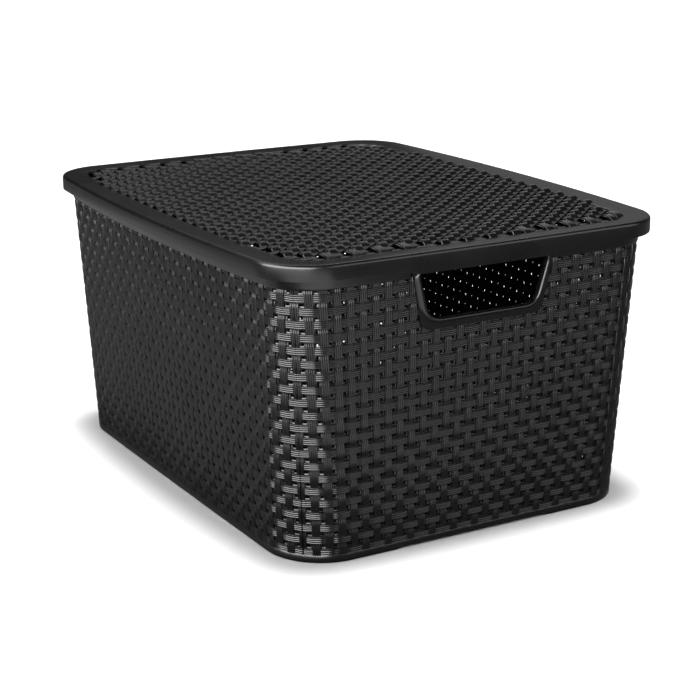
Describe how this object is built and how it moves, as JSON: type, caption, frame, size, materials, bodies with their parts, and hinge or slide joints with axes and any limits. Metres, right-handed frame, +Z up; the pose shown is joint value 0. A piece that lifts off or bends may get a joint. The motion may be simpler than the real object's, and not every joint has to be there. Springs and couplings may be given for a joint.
{
  "type": "storage basket with lid",
  "caption": "Rattan-look storage basket: bowed rectangular body with woven tapering walls, a handle opening in each end, and a lift-off woven lid with a smooth skirt.",
  "frame": {"origin": "centre of the footprint, on the surface that the basket stands on", "axes": "+Z up and the way the lid lifts off, +X along the long axis towards one handle end, +Y across the basket"},
  "size_m": [0.45, 0.362, 0.233],
  "materials": {
    "woven_plastic": "satin moulded weave",
    "smooth_plastic": "satin"
  },
  "bodies": {
    "basket": {"base_band": "smooth_plastic", "base_panel": "smooth_plastic", "front_wall": "woven_plastic", "back_wall": "woven_plastic", "right_wall": "woven_plastic", "left_wall": "woven_plastic", "front_right_corner": "woven_plastic", "front_left_corner": "woven_plastic", "back_right_corner": "woven_plastic", "back_left_corner": "woven_plastic", "right_handle_frame": "smooth_plastic", "left_handle_frame": "smooth_plastic", "top_band": "smooth_plastic", "rim_flange": "smooth_plastic"},
    "lid": {"lid_skirt": "smooth_plastic", "lid_border": "smooth_plastic", "lid_panel": "woven_plastic"}
  },
  "joints": [
    {"name": "lid_lift", "type": "slide", "parent": "basket", "child": "lid", "axis": [0, 0, 1], "range_m": [0, 0.15]}
  ]
}
